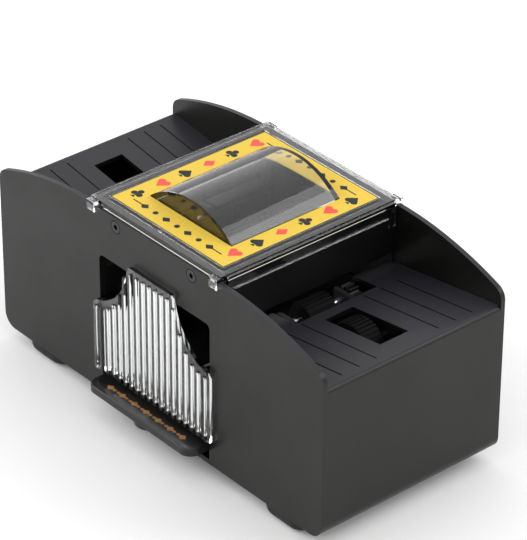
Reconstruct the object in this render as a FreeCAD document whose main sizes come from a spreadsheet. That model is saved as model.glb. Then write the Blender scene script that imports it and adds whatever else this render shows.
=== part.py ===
"""Automatic card shuffler, two decks, press-bar operated.

Units are millimetres. +Z is up and the front, with the card drawer and the press bar, faces -Y.
The origin is the middle of the overall footprint, on the surface that the four feet stand on.
Every piece is drawn about the housing's mid-plane and then moved back, by half of what the press
bar reaches out in front less what the cover's lugs reach out behind, to centre the whole object.
"""
import FreeCAD, Part
import math
import os
import re
import Sketcher

os.makedirs("parts", exist_ok=True)
doc = FreeCAD.newDocument("card_shuffler")
Vector = FreeCAD.Vector
Rotation = FreeCAD.Rotation

# ---------------------------------------------------------------- driving dimensions
SIZES = {
    # outer casing
    "body_length": 206.0,
    "body_width": 96.0,
    "foot_height": 6.3,
    "base_height": 10.2,
    "housing_height": 79.0,
    "wall": 2.2,
    "base_floor": 2.2,
    "panel_flat": 82.0,
    "panel_radius": 160.0,
    "panel_corner": 6.0,
    "base_corner": 6.5,
    # card trays
    "lip_height": 60.5,
    "lip_radius": 2.6,
    "tray_slope": 8.1,
    "tray_floor": 2.0,
    "tray_end": 37.5,
    "rib_width": 0.7,
    "rib_depth": 0.45,
    "rib_pitch": 9.0,
    "feed_window_length": 32.5,
    "feed_window_width": 15.0,
    "feed_window_x": 58.0,
    "exit_notch_x": 52.0,
    "exit_notch_front": 17.0,
    "exit_notch_rear": 26.0,
    # centre frame and chute
    "frame_wall": 1.5,
    "channel_width": 71.0,
    "chute_width": 79.0,
    "gate_gap": 5.5,
    "slack": 0.3,
    # drawer
    "opening_width": 70.6,
    "opening_height": 57.0,
    "opening_corner": 2.5,
    "drawer_wall": 1.4,
    "drawer_width": 68.0,
    "drawer_depth": 91.0,
    "drawer_height": 35.0,
    "front_width": 74.4,
    "front_top_width": 29.0,
    "front_height": 59.4,
    "front_shoulder": 34.0,
    "front_thickness": 1.8,
    "drawer_rib_count": 19,
    "drawer_rib_pitch": 3.86,
    "drawer_rib_width": 2.4,
    "drawer_rib_depth": 1.3,
    # press bar
    "bar_length": 68.0,
    "bar_reach": 10.0,
    "bar_thickness": 3.2,
    "bar_corner": 5.5,
    "bump_width": 13.0,
    "bump_depth": 2.4,
    "bar_arm_width": 48.0,
    "pivot_y": 27.0,
    "pivot_rise": 7.8,
    "pin_radius": 1.5,
    "run_fit": 0.05,
    "spring_radius": 2.4,
    "spring_wire": 0.5,
    "spring_gap": 0.25,
    "spring_turns": 4,
    # top cover and label
    "cover_length": 82.0,
    "cover_width": 94.0,
    "cover_thickness": 2.5,
    "label_length": 71.4,
    "label_width": 82.6,
    "label_thickness": 0.4,
    "label_depth": 0.25,
    "label_gap": 0.3,
    "dome_length": 51.0,
    "dome_width": 57.0,
    "dome_height": 9.3,
    "dome_wall": 1.2,
    "lug_reach": 1.4,
    "lug_length": 4.6,
    "hook_depth": 2.6,
    "ledge_thickness": 1.9,
    "skirt_reach": 1.4,
    "skirt_depth": 4.6,
    "clip_depth": 9.0,
    # drive: feed roller, exit roller and gears
    "feed_x": 70.0,
    "feed_radius": 12.0,
    "feed_proud": 0.5,
    "feed_hub": 8.5,
    "feed_roller_width": 9.0,
    "exit_radius": 7.0,
    "exit_roller_width": 14.0,
    "tread_depth": 0.5,
    "tread_width": 0.9,
    "shaft_radius": 1.5,
    "stud_radius": 1.2,
    "gear_module": 0.8,
    "fine_module": 0.5,
    "feed_teeth": 20,
    "idler_teeth": 20,
    "exit_teeth": 12,
    "step_teeth": 10,
    "wheel_teeth": 36,
    "pinion_teeth": 10,
    "idler_angle": 192.3,
    "exit_angle": 152.5,
    "step_angle": -45.0,
    "motor_angle": -70.0,
    "gear_width": 5.0,
    "wheel_width": 3.0,
    "bracket_half": 14.0,
    "bracket_plate": 2.0,
    "bracket_deck": 20.7,
    "deck_width": 76.0,
    "motor_radius": 10.0,
    "motor_flat": 7.6,
    "motor_length": 25.0,
    "motor_boss": 3.0,
    "motor_shaft": 1.0,
    # batteries
    "cell_length": 50.5,
    "cell_radius": 7.25,
    "cell_count": 4,
    "bay_gap": 3.6,
    "bay_wall": 1.2,
    "door_thickness": 1.9,
    # feet and fasteners
    "foot_length": 24.8,
    "foot_depth": 14.0,
    "foot_round": 4.0,
    "foot_x": 77.5,
    "foot_inset": 7.6,
    "stem_radius": 2.0,
    "side_screw_x": 24.0,
    "side_screw_drop": 4.3,
    "screw_radius": 1.3,
    "screw_head": 2.7,
    "post_radius": 3.6,
}

sheet = doc.addObject("Spreadsheet::Sheet", "Sizes")
for row, (alias, value) in enumerate(SIZES.items(), start=1):
    sheet.set("A%d" % row, alias)
    sheet.set("B%d" % row, str(value))
    sheet.setAlias("B%d" % row, alias)
doc.recompute()


# ---------------------------------------------------------------- helpers
def bind(text):
    """Names of sizes in an expression, made into references to the sheet."""
    return re.sub(r"\b([a-z][a-z_0-9]*)\b(?!\()", r"Sizes.\1", str(text))


def size(text):
    """The value of an expression in sizes, in millimetres."""
    return float(sheet.evalExpression(bind(text)))


# heights above the surface, as expressions in sizes
PARTING = "(foot_height + base_height)"
TOP = "(foot_height + base_height + housing_height)"
LIP = "(foot_height + base_height + lip_height)"
INSIDE = "(foot_height + base_floor)"
HALF = "(body_length / 2)"
FRONT = "(body_width / 2)"
CENTRING = "(bar_reach - lug_reach) / 2"


def tray_z(x):
    """Height of a tray's floor at a distance x from the middle."""
    return "(%s - tan(tray_slope) * (%s - (%s)))" % (LIP, HALF, x)


def shift(obj, x=0, y=0, z=0, turned=False, spin=0.0):
    """Places a sub-part. turned puts it on the left, half a turn about Z from the right-hand one."""
    sign = "-1" if turned else "1"
    across = "%s + %s * (%s)" % (CENTRING, sign, y)
    base = Vector(size("%s * (%s)" % (sign, x)), size(across), size(z))
    turn = Rotation(Vector(0, 0, 1), 180 if turned else 0)
    obj.Placement = FreeCAD.Placement(base, turn.multiply(Rotation(Vector(0, 1, 0), spin)))
    obj.setExpression("Placement.Base.x", bind("%s * (%s)" % (sign, x)))
    obj.setExpression("Placement.Base.y", bind(across))
    obj.setExpression("Placement.Base.z", bind(z))


def new_body(label):
    """An empty PartDesign body with its label."""
    body = doc.addObject("PartDesign::Body", label)
    body.Label = label
    return body


def new_sketch(body, role, offset=0):
    """A sketch on one of the body's own origin planes, offset along the plane's normal."""
    plane = [o for o in body.Origin.OriginFeatures if o.Role == role][0]
    sketch = body.newObject("Sketcher::SketchObject", body.Label + "_sketch")
    sketch.AttachmentSupport = [(plane, "")]
    sketch.MapMode = "FlatFace"
    sketch.setExpression("AttachmentOffset.Base.z", bind(offset))
    return sketch


def tie(sketch, places):
    """Ties points of a sketch, each an element and one of its ends, to places given by expressions."""
    constraints, texts = [], []
    for index, end, x, y in places:
        for kind, text in (("DistanceX", x), ("DistanceY", y)):
            constraints.append(Sketcher.Constraint(kind, -1, 1, index, end, size(text)))
            texts.append(text)
    first = sketch.ConstraintCount
    sketch.addConstraint(constraints)
    for number, text in enumerate(texts, start=first):
        sketch.setExpression("Constraints[%d]" % number, bind(text))


def arc_through(start, middle, end):
    """An anticlockwise arc through three points, and whether it begins at the first of them."""
    curve = Part.Arc(start, middle, end).toShape().Curve
    round_line = Part.Circle(curve.Center, Vector(0, 0, 1), curve.Radius)
    forward = (middle - start).cross(end - middle).z > 0
    first, last = (start, end) if forward else (end, start)
    return Part.ArcOfCircle(round_line, round_line.parameter(first), round_line.parameter(last)), forward


def outline(sketch, points):
    """A closed outline of straight runs. A third value in a point is the middle of an arc to the next."""
    places, on_arcs = [], []
    count = len(points)
    for i, point in enumerate(points):
        following = points[(i + 1) % count]
        start = Vector(size(point[0]), size(point[1]), 0)
        end = Vector(size(following[0]), size(following[1]), 0)
        ends = (1, 2)
        if len(point) == 3:
            middle = Vector(size(point[2][0]), size(point[2][1]), 0)
            arc, forward = arc_through(start, middle, end)
            index = sketch.addGeometry(arc, False)
            mark = sketch.addGeometry(Part.Point(middle), True)
            on_arcs.append(Sketcher.Constraint("PointOnObject", mark, 1, index))
            places.append((mark, 1, point[2][0], point[2][1]))
            if not forward:
                ends = (2, 1)
        else:
            index = sketch.addGeometry(Part.LineSegment(start, end), False)
        places.append((index, ends[0], point[0], point[1]))
        places.append((index, ends[1], following[0], following[1]))
    tie(sketch, places)
    if on_arcs:
        sketch.addConstraint(on_arcs)


def rectangle(sketch, x0, x1, y0, y1):
    outline(sketch, [(x0, y0), (x1, y0), (x1, y1), (x0, y1)])


def circle(sketch, x, y, radius):
    index = sketch.addGeometry(Part.Circle(Vector(size(x), size(y), 0), Vector(0, 0, 1), size(radius)))
    tie(sketch, [(index, 3, x, y)])
    number = sketch.addConstraint(Sketcher.Constraint("Radius", index, size(radius)))
    sketch.setExpression("Constraints[%d]" % number, bind(radius))


def extrude(body, kind, sketch, length, reverse=False, symmetric=False):
    """A Pad or a Pocket of a sketch. A Pocket that takes nothing away is an error."""
    before = body.Shape.Volume if body.Tip else 0.0
    feature = body.newObject("PartDesign::" + kind, body.Label + "_" + kind.lower())
    feature.Profile = sketch
    feature.setExpression("Length", bind(length))
    if symmetric:
        feature.SideType = "Symmetric"
    feature.Reversed = reverse
    doc.recompute()
    if abs(body.Shape.Volume - before) < 1e-3:
        raise RuntimeError("%s of %s changes nothing" % (kind, body.Label))
    return feature


def pad(body, sketch, length, reverse=False, symmetric=False):
    return extrude(body, "Pad", sketch, length, reverse, symmetric)


def cut(body, sketch, length, reverse=False, symmetric=False):
    return extrude(body, "Pocket", sketch, length, reverse, symmetric)


def edges_where(body, test):
    """Names of the edges of a body's last feature whose middle passes a test."""
    names = []
    for number, edge in enumerate(body.Tip.Shape.Edges, start=1):
        middle = edge.valueAt((edge.FirstParameter + edge.LastParameter) / 2)
        if test(edge, middle):
            names.append("Edge%d" % number)
    return names


def fillet(body, test, radius):
    names = edges_where(body, test)
    if not names:
        raise RuntimeError("no edge to round on " + body.Label)
    base = body.Tip
    feature = body.newObject("PartDesign::Fillet", body.Label + "_fillet")
    feature.Base = (base, names)
    feature.setExpression("Radius", bind(radius))
    doc.recompute()


def along(edge, axis):
    """True if an edge is straight and lies along an axis."""
    direction = edge.Vertexes[-1].Point - edge.Vertexes[0].Point
    return direction.Length > 0 and abs(direction.normalize().dot(axis)) > 0.999


def pattern(body, kind, originals, count, reference, length=0):
    """Repeats features of a body along an axis or round it."""
    feature = body.newObject("PartDesign::" + kind, body.Label + "_pattern")
    feature.Originals = originals
    axis = [o for o in body.Origin.OriginFeatures if o.Role == reference][0]
    if kind == "LinearPattern":
        feature.Direction = (axis, [""])
        feature.setExpression("Length", bind(length))
    else:
        feature.Axis = (axis, [""])
        feature.Angle = 360
    feature.setExpression("Occurrences", bind(count))
    body.Tip = feature
    doc.recompute()
    return feature


def block(label, x0, x1, y0, y1, z0, z1):
    """A Part::Box between two corners given by expressions, for use in a boolean."""
    box = doc.addObject("Part::Box", label)
    for name, low, high in (("Length", x0, x1), ("Width", y0, y1), ("Height", z0, z1)):
        box.setExpression(name, bind("(%s) - (%s)" % (high, low)))
    for name, low in (("x", x0), ("y", y0), ("z", z0)):
        box.setExpression("Placement.Base." + name, bind(low))
    return box


def rod(label, radius, length, x, y, z, axis="y"):
    """A Part::Cylinder from a point along +X, +Y or +Z, for use alone or in a boolean."""
    cylinder = doc.addObject("Part::Cylinder", label)
    cylinder.setExpression("Radius", bind(radius))
    cylinder.setExpression("Height", bind(length))
    turns = {"x": (Vector(0, 1, 0), 90), "y": (Vector(1, 0, 0), -90), "z": (Vector(0, 0, 1), 0)}
    cylinder.Placement = FreeCAD.Placement(Vector(), Rotation(*turns[axis]))
    for name, low in (("x", x), ("y", y), ("z", z)):
        cylinder.setExpression("Placement.Base." + name, bind(low))
    return cylinder


def fuse(label, pieces):
    joined = doc.addObject("Part::MultiFuse", label)
    joined.Shapes = pieces
    joined.Label = label
    return joined


def subtract(label, base, pieces):
    tool = pieces[0] if len(pieces) == 1 else fuse(label + "_tool", pieces)
    result = doc.addObject("Part::Cut", label)
    result.Base = base
    result.Tool = tool
    result.Label = label
    return result


def group(label, pieces):
    """Identical separate solids kept as one sub-part."""
    compound = doc.addObject("Part::Compound", label)
    compound.Links = pieces
    compound.Label = label
    return compound


subparts = []


def finish(obj, **place):
    """Places a sub-part and puts it on the list that is written out."""
    shift(obj, **place)
    subparts.append(obj)
    return obj


AXIS_X, AXIS_Y, AXIS_Z = Vector(1, 0, 0), Vector(0, 1, 0), Vector(0, 0, 1)

# places that several pieces share, as expressions
DRAWER_Z = "(%s + 2.2)" % PARTING
INNER_HALF = "(body_length / 2 - wall)"
INNER_FRONT = "(body_width / 2 - wall)"
CHANNEL = "(channel_width / 2)"
CHUTE = "(chute_width / 2)"
POST_X = "(body_length / 2 - wall - 8)"
POST_Y = "(body_width / 2 - wall - 3)"
BAY_OUT = "(body_length / 2 - base_corner - 1.5)"
BAY_IN = "(%s - cell_length - bay_gap)" % BAY_OUT
BAY_HALF = "(cell_count * cell_radius + 0.6)"
BAY_TOP = "(%s + 2 * cell_radius + 1)" % INSIDE
DECK_Z = "(foot_height + bracket_deck)"
FEED_Z = "(%s + feed_proud - feed_radius)" % tray_z("feed_x")
FEED_MESH = "(gear_module * (feed_teeth + idler_teeth) / 2)"
IDLER_X = "(feed_x + %s * cos(idler_angle))" % FEED_MESH
IDLER_Z = "(%s + %s * sin(idler_angle))" % (FEED_Z, FEED_MESH)
EXIT_MESH = "(gear_module * (idler_teeth + exit_teeth) / 2)"
EXIT_X = "(%s + %s * cos(exit_angle))" % (IDLER_X, EXIT_MESH)
EXIT_Z = "(%s + %s * sin(exit_angle))" % (IDLER_Z, EXIT_MESH)
STEP_MESH = "(gear_module * (feed_teeth + step_teeth) / 2)"
STEP_X = "(feed_x + %s * cos(step_angle))" % STEP_MESH
STEP_Z = "(%s + %s * sin(step_angle))" % (FEED_Z, STEP_MESH)
MOTOR_MESH = "(fine_module * (wheel_teeth + pinion_teeth) / 2)"
MOTOR_X = "(%s + %s * cos(motor_angle))" % (STEP_X, MOTOR_MESH)
MOTOR_Z = "(%s + %s * sin(motor_angle))" % (STEP_Z, MOTOR_MESH)
PLATE_OUT = "(bracket_half + bracket_plate)"
GEAR_Y = "(%s + 1)" % PLATE_OUT
WHEEL_Y = "(%s + gear_width + 0.5)" % GEAR_Y
BRACKET_SCREW_X = ("(feed_x - 16)", "(feed_x + 20)")
BRACKET_SCREW_Y = "(deck_width / 2 - 3.2)"
PIVOT_Z = "(foot_height + pivot_rise)"
COVER_Z = "(%s + 0.25)" % TOP
COIL_RUNS = 12


# ---------------------------------------------------------------- casing
def upper_housing():
    body = new_body("upper_housing")
    half_arc = "(asin((%s - panel_flat / 2) / panel_radius))" % HALF
    shoulder = "(%s - panel_radius * (1 - cos(%s)))" % (TOP, half_arc)
    mid_x = "(panel_flat / 2 + panel_radius * sin(%s / 2))" % half_arc
    mid_z = "(%s - panel_radius * (1 - cos(%s / 2)))" % (TOP, half_arc)
    side = new_sketch(body, "XZ_Plane")
    outline(side, [("-" + HALF, PARTING), (HALF, PARTING), (HALF, shoulder, (mid_x, mid_z)),
                   ("panel_flat / 2", TOP), ("-panel_flat / 2", TOP, ("-" + mid_x, mid_z)),
                   ("-" + HALF, shoulder)])
    pad(body, side, "body_width", symmetric=True)
    fillet(body, lambda e, m: along(e, AXIS_Y) and abs(abs(m.x) - size(HALF)) < 0.01
           and abs(m.z - size(shoulder)) < 0.01, "panel_corner")

    # the two card trays, open to the top, with a rounded lip at each end
    trays = new_sketch(body, "XZ_Plane")
    lip_x = "(%s - lip_radius)" % HALF
    bend = "(lip_radius * 0.29)"
    for s in ("", "-"):
        outline(trays, [(s + "tray_end", tray_z("tray_end")),
                        (s + lip_x, tray_z(lip_x), ("%s(%s - %s)" % (s, HALF, bend),
                                                    "(%s - %s)" % (tray_z(HALF), bend))),
                        (s + HALF, "%s - lip_radius" % tray_z(HALF)),
                        ("%s(%s + 1)" % (s, HALF), "%s - lip_radius" % tray_z(HALF)),
                        ("%s(%s + 1)" % (s, HALF), "%s + 1" % TOP),
                        (s + "tray_end", "%s + 1" % TOP)])
    cut(body, trays, "body_width - 2 * wall", symmetric=True)

    # the inside, below the tray floors and up through the middle
    inside = new_sketch(body, "XZ_Plane")
    outline(inside, [("-" + INNER_HALF, "%s - 1" % PARTING), (INNER_HALF, "%s - 1" % PARTING),
                     (INNER_HALF, "%s - tray_floor" % tray_z(INNER_HALF)),
                     ("tray_end", "%s - tray_floor" % tray_z("tray_end")),
                     ("tray_end", "%s + 1" % TOP), ("-tray_end", "%s + 1" % TOP),
                     ("-tray_end", "%s - tray_floor" % tray_z("tray_end")),
                     ("-" + INNER_HALF, "%s - tray_floor" % tray_z(INNER_HALF))])
    cut(body, inside, "body_width - 2 * wall", symmetric=True)

    # windows for the feed rollers and notches for the exit rollers
    windows = new_sketch(body, "XY_Plane", TOP)
    for s, front, rear in (("", "-exit_notch_front", "exit_notch_rear"),
                           ("-", "-exit_notch_rear", "exit_notch_front")):
        rectangle(windows, s + "feed_window_x", "%s(feed_window_x + feed_window_length)" % s,
                  "-feed_window_width / 2", "feed_window_width / 2")
        rectangle(windows, "%s(tray_end - 1)" % s, s + "exit_notch_x", front, rear)
    cut(body, windows, "housing_height")

    # shallow guide lines along the tray floors
    for start in ("feed_window_width / 2 + 9", "-(feed_window_width / 2 + 9 + 2 * rib_pitch)"):
        line = new_sketch(body, "XZ_Plane", "-(%s)" % start)
        for s in ("", "-"):
            low, high = "(exit_notch_x + 2)", "(%s - 5)" % HALF
            outline(line, [(s + low, "%s - rib_depth" % tray_z(low)),
                           (s + high, "%s - rib_depth" % tray_z(high)),
                           (s + high, "%s + 1" % tray_z(high)), (s + low, "%s + 1" % tray_z(low))])
        groove = cut(body, line, "rib_width")
        pattern(body, "LinearPattern", [groove], 3, "Y_Axis", length="2 * rib_pitch")

    # the front opening for the drawer
    opening = new_sketch(body, "XZ_Plane", "%s + 1" % FRONT)
    rectangle(opening, "-opening_width / 2", "opening_width / 2",
              "%s + 1.8" % PARTING, "%s + opening_height" % PARTING)
    cut(body, opening, "wall + 2")
    fillet(body, lambda e, m: along(e, AXIS_Y) and abs(abs(m.x) - size("opening_width / 2")) < 0.01
           and abs(m.z - size("%s + opening_height" % PARTING)) < 0.01, "opening_corner")

    # holes for the side screws, front and rear
    holes = new_sketch(body, "XZ_Plane")
    heads = [new_sketch(body, "XZ_Plane", "%s%s" % (s, FRONT)) for s in ("", "-")]
    for s in ("", "-"):
        circle(holes, s + "side_screw_x", "%s - side_screw_drop" % TOP, "screw_radius + 0.3")
        for head in heads:
            circle(head, s + "side_screw_x", "%s - side_screw_drop" % TOP, "screw_head + 0.3")
    cut(body, holes, "body_width", symmetric=True)
    cut(body, heads[0], "1.3")
    cut(body, heads[1], "1.3", reverse=True)

    # posts that take the screws from the base
    posts = new_sketch(body, "XY_Plane", PARTING)
    bores = new_sketch(body, "XY_Plane", PARTING)
    for sx in ("", "-"):
        for sy in ("", "-"):
            circle(posts, sx + POST_X, sy + POST_Y, "post_radius")
            circle(bores, sx + POST_X, sy + POST_Y, "screw_radius")
    pad(body, posts, "24")
    cut(body, bores, "18", reverse=True)
    finish(body)


def lower_housing():
    body = new_body("lower_housing")
    side = new_sketch(body, "XZ_Plane")
    rectangle(side, "-" + HALF, HALF, "foot_height", PARTING)
    pad(body, side, "body_width", symmetric=True)
    fillet(body, lambda e, m: along(e, AXIS_Y) and m.z < size("foot_height") + 0.01, "base_corner")
    inside = new_sketch(body, "XY_Plane", PARTING)
    rectangle(inside, "-" + INNER_HALF, INNER_HALF, "-" + INNER_FRONT, INNER_FRONT)
    cut(body, inside, "base_height - base_floor")
    fillet(body, lambda e, m: along(e, AXIS_Y) and abs(m.z - size(INSIDE)) < 0.01
           and abs(abs(m.x) - size(INNER_HALF)) < 0.01, "base_corner - wall")

    # battery box on the left, open below
    box = new_sketch(body, "XY_Plane", "%s - 0.5" % INSIDE)
    rectangle(box, "-(%s + bay_wall)" % BAY_OUT, "-(%s - bay_wall)" % BAY_IN,
              "-(%s + bay_wall)" % BAY_HALF, "%s + bay_wall" % BAY_HALF)
    pad(body, box, "%s - %s + bay_wall + 0.5" % (BAY_TOP, INSIDE))
    bay = new_sketch(body, "XY_Plane", "foot_height - 1")
    rectangle(bay, "-" + BAY_OUT, "-" + BAY_IN, "-" + BAY_HALF, BAY_HALF)
    cut(body, bay, "%s - foot_height + 1" % BAY_TOP, reverse=True)

    # posts: four under the casing screws, and four under each drive bracket
    posts = new_sketch(body, "XY_Plane", "%s - 0.5" % INSIDE)
    tall = new_sketch(body, "XY_Plane", "%s - 0.5" % INSIDE)
    for sx in ("", "-"):
        for sy in ("", "-"):
            circle(posts, sx + POST_X, sy + POST_Y, "post_radius")
            for x in BRACKET_SCREW_X:
                circle(tall, sx + x, sy + BRACKET_SCREW_Y, "post_radius")
    pad(body, posts, "base_height - base_floor + 0.5")
    pad(body, tall, "%s - %s + 0.5" % (DECK_Z, INSIDE))
    bores = new_sketch(body, "XY_Plane", DECK_Z)
    through = new_sketch(body, "XY_Plane", PARTING)
    heads = new_sketch(body, "XY_Plane", "foot_height")
    stems = new_sketch(body, "XY_Plane", "foot_height")
    for sx in ("", "-"):
        for sy in ("", "-"):
            circle(through, sx + POST_X, sy + POST_Y, "screw_radius + 0.2")
            circle(heads, sx + POST_X, sy + POST_Y, "screw_head + 0.2")
            circle(stems, sx + "foot_x", "%s(%s - foot_inset)" % (sy, FRONT), "stem_radius")
            for x in BRACKET_SCREW_X:
                circle(bores, sx + x, sy + BRACKET_SCREW_Y, "screw_radius")
    cut(body, bores, "9")
    cut(body, through, "base_height")
    cut(body, heads, "1.5", reverse=True)
    cut(body, stems, "base_floor", reverse=True)

    # slot for the press bar in the front wall, and the two blocks that hold its pin
    slot = new_sketch(body, "XZ_Plane", "%s + 1" % FRONT)
    rectangle(slot, "-(bar_length / 2 + 0.6)", "bar_length / 2 + 0.6", INSIDE, "%s + 1" % PARTING)
    cut(body, slot, "wall + 2")
    blocks = new_sketch(body, "XY_Plane", "%s - 0.5" % INSIDE)
    for s in ("", "-"):
        rectangle(blocks, "%s(bar_arm_width / 2 + 0.6)" % s, "%s(bar_arm_width / 2 + 4.6)" % s,
                  "-pivot_y - 3.4", "-pivot_y + 3.4")
    pad(body, blocks, "%s - %s + pin_radius + 1.5" % (PIVOT_Z, INSIDE))
    hole = new_sketch(body, "YZ_Plane")
    circle(hole, "-pivot_y", PIVOT_Z, "pin_radius")
    cut(body, hole, "bar_arm_width + 12", symmetric=True)
    finish(body)


def battery_door():
    body = new_body("battery_door")
    plate = new_sketch(body, "XY_Plane", "foot_height")
    rectangle(plate, "-(%s - slack)" % BAY_OUT, "-(%s + slack)" % BAY_IN,
              "-(%s - slack)" % BAY_HALF, "%s - slack" % BAY_HALF)
    pad(body, plate, "door_thickness")
    # thumb grooves beside the catch
    groove = new_sketch(body, "XY_Plane", "foot_height")
    rectangle(groove, "-(%s - 5)" % BAY_OUT, "-(%s - 6.2)" % BAY_OUT, "-9", "9")
    notch = cut(body, groove, "0.6", reverse=True)
    pattern(body, "LinearPattern", [notch], 4, "X_Axis", length="7.2")
    finish(body)


def center_frame():
    inner = "(%s - slack)" % INNER_FRONT
    web = "(%s - frame_wall)" % inner
    deck_top = "(%s + 1.8)" % PARTING
    low_top = "(%s - exit_radius - 0.6)" % EXIT_Z
    floor_low = "(%s - tray_floor)" % tray_z("tray_end")
    bar_low = "(%s - 9)" % TOP
    pieces = [block("frame_deck", "-(%s + frame_wall)" % CHANNEL, "%s + frame_wall" % CHANNEL,
                    "-" + inner, inner, "%s + 0.3" % PARTING, deck_top)]
    for s, tag in ((1, "right"), (-1, "left")):
        def span(low, high):
            return (low, high) if s > 0 else ("-(%s)" % high, "-(%s)" % low)
        thin = span(CHANNEL, "(%s + frame_wall)" % CHANNEL)
        wide = span(CHANNEL, "(%s + frame_wall)" % CHUTE)
        gate = span(CHUTE, "(%s + frame_wall)" % CHUTE)
        pieces.append(block("frame_low_" + tag, *thin, "-" + inner, inner, deck_top, low_top))
        for y0, y1, end in (("-" + inner, "-(exit_notch_rear + 1)", "front"),
                            ("exit_notch_rear + 1", inner, "rear")):
            pieces.append(block("frame_cheek_%s_%s" % (tag, end), *thin, y0, y1, low_top, floor_low))
        for y0, y1, end in (("-" + inner, "-" + web, "front"), (web, inner, "rear")):
            pieces.append(block("frame_web_%s_%s" % (tag, end), *thin, y0, y1, floor_low, TOP))
            pieces.append(block("frame_wing_%s_%s" % (tag, end), *wide, y0, y1,
                                "%s + 0.4" % tray_z("%s + frame_wall" % CHUTE), TOP))
        pieces.append(block("frame_gate_" + tag, *gate, "-" + inner, inner,
                            "%s + gate_gap" % tray_z(CHUTE), TOP))
    rail = "(%s - 3)" % inner
    for y0, y1, end in (("-" + inner, "-" + rail, "front"), (rail, inner, "rear")):
        pieces.append(block("frame_rail_" + end, "-(%s + frame_wall)" % CHUTE,
                            "%s + frame_wall" % CHUTE, y0, y1, bar_low, TOP))
    solid = fuse("frame_solid", pieces)
    holes = [rod("frame_hole_%d" % i, "screw_radius", "2 * %s" % inner, s + "side_screw_x",
                 "-" + inner, "%s - side_screw_drop" % TOP) for i, s in enumerate(("", "-"))]
    finish(subtract("center_frame", solid, holes))


def feet():
    for x, y, label in (("-", "-", "front_left"), ("", "-", "front_right"),
                        ("-", "", "rear_left"), ("", "", "rear_right")):
        body = new_body("foot_" + label)
        plan = new_sketch(body, "XY_Plane")
        straight, deep = "((foot_length - foot_depth) / 2)", "(foot_depth / 2)"
        outline(plan, [("-" + straight, "-" + deep), (straight, "-" + deep, ("foot_length / 2", "0")),
                       (straight, deep), ("-" + straight, deep, ("-foot_length / 2", "0"))])
        pad(body, plan, "foot_height")
        fillet(body, lambda e, m: m.z < 0.01, "foot_round")
        stem = new_sketch(body, "XY_Plane", "foot_height - 0.5")
        circle(stem, "0", "0", "stem_radius")
        pad(body, stem, "base_floor + 0.5")
        finish(body, x=x + "foot_x", y="%s(%s - foot_inset)" % (y, FRONT))


def screws():
    """Round-headed screws, one group for each kind, each screw a head and a shank in one."""
    side = []
    for sx in ("", "-"):
        for front in (True, False):
            tag = "%s%s" % ("r" if sx else "l", "f" if front else "b")
            x, z = sx + "side_screw_x", "%s - side_screw_drop" % TOP
            head_y = "-%s" % FRONT if front else "%s - 1.3" % FRONT
            shank_y = "-%s" % FRONT if front else "%s - 7" % FRONT
            head = rod("side_head_" + tag, "screw_head", "1.3", x, head_y, z)
            drive = rod("side_drive_" + tag, "screw_head * 0.42", "0.8", x,
                        head_y if front else "%s - 0.8" % FRONT, z)
            shank = rod("side_shank_" + tag, "screw_radius", "7", x, shank_y, z)
            whole = fuse("side_whole_" + tag, [head, shank])
            side.append(subtract("side_screw_" + tag, whole, [drive]))
    finish(group("side_screws", side))
    base, bracket = [], []
    for i, (sx, sy) in enumerate((("", ""), ("", "-"), ("-", ""), ("-", "-"))):
        x, y = sx + POST_X, sy + POST_Y
        head = rod("base_head_%d" % i, "screw_head", "1.4", x, y, "foot_height + 0.1", axis="z")
        drive = rod("base_drive_%d" % i, "screw_head * 0.42", "0.8", x, y, "foot_height", axis="z")
        shank = rod("base_shank_%d" % i, "screw_radius", "base_height + 9", x, y,
                    "foot_height + 0.3", axis="z")
        whole = fuse("base_whole_%d" % i, [head, shank])
        base.append(subtract("base_screw_%d" % i, whole, [drive]))
        for j, bx in enumerate(BRACKET_SCREW_X):
            x, y = sx + bx, sy + BRACKET_SCREW_Y
            deck_top = "(%s + bracket_plate)" % DECK_Z
            head = rod("bracket_head_%d%d" % (i, j), "screw_head", "1.4", x, y, deck_top, axis="z")
            shank = rod("bracket_shank_%d%d" % (i, j), "screw_radius", "bracket_plate + 8", x, y,
                        "%s - 8" % DECK_Z, axis="z")
            bracket.append(fuse("bracket_screw_%d%d" % (i, j), [head, shank]))
    finish(group("base_screws", base))
    finish(group("bracket_screws", bracket))


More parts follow.
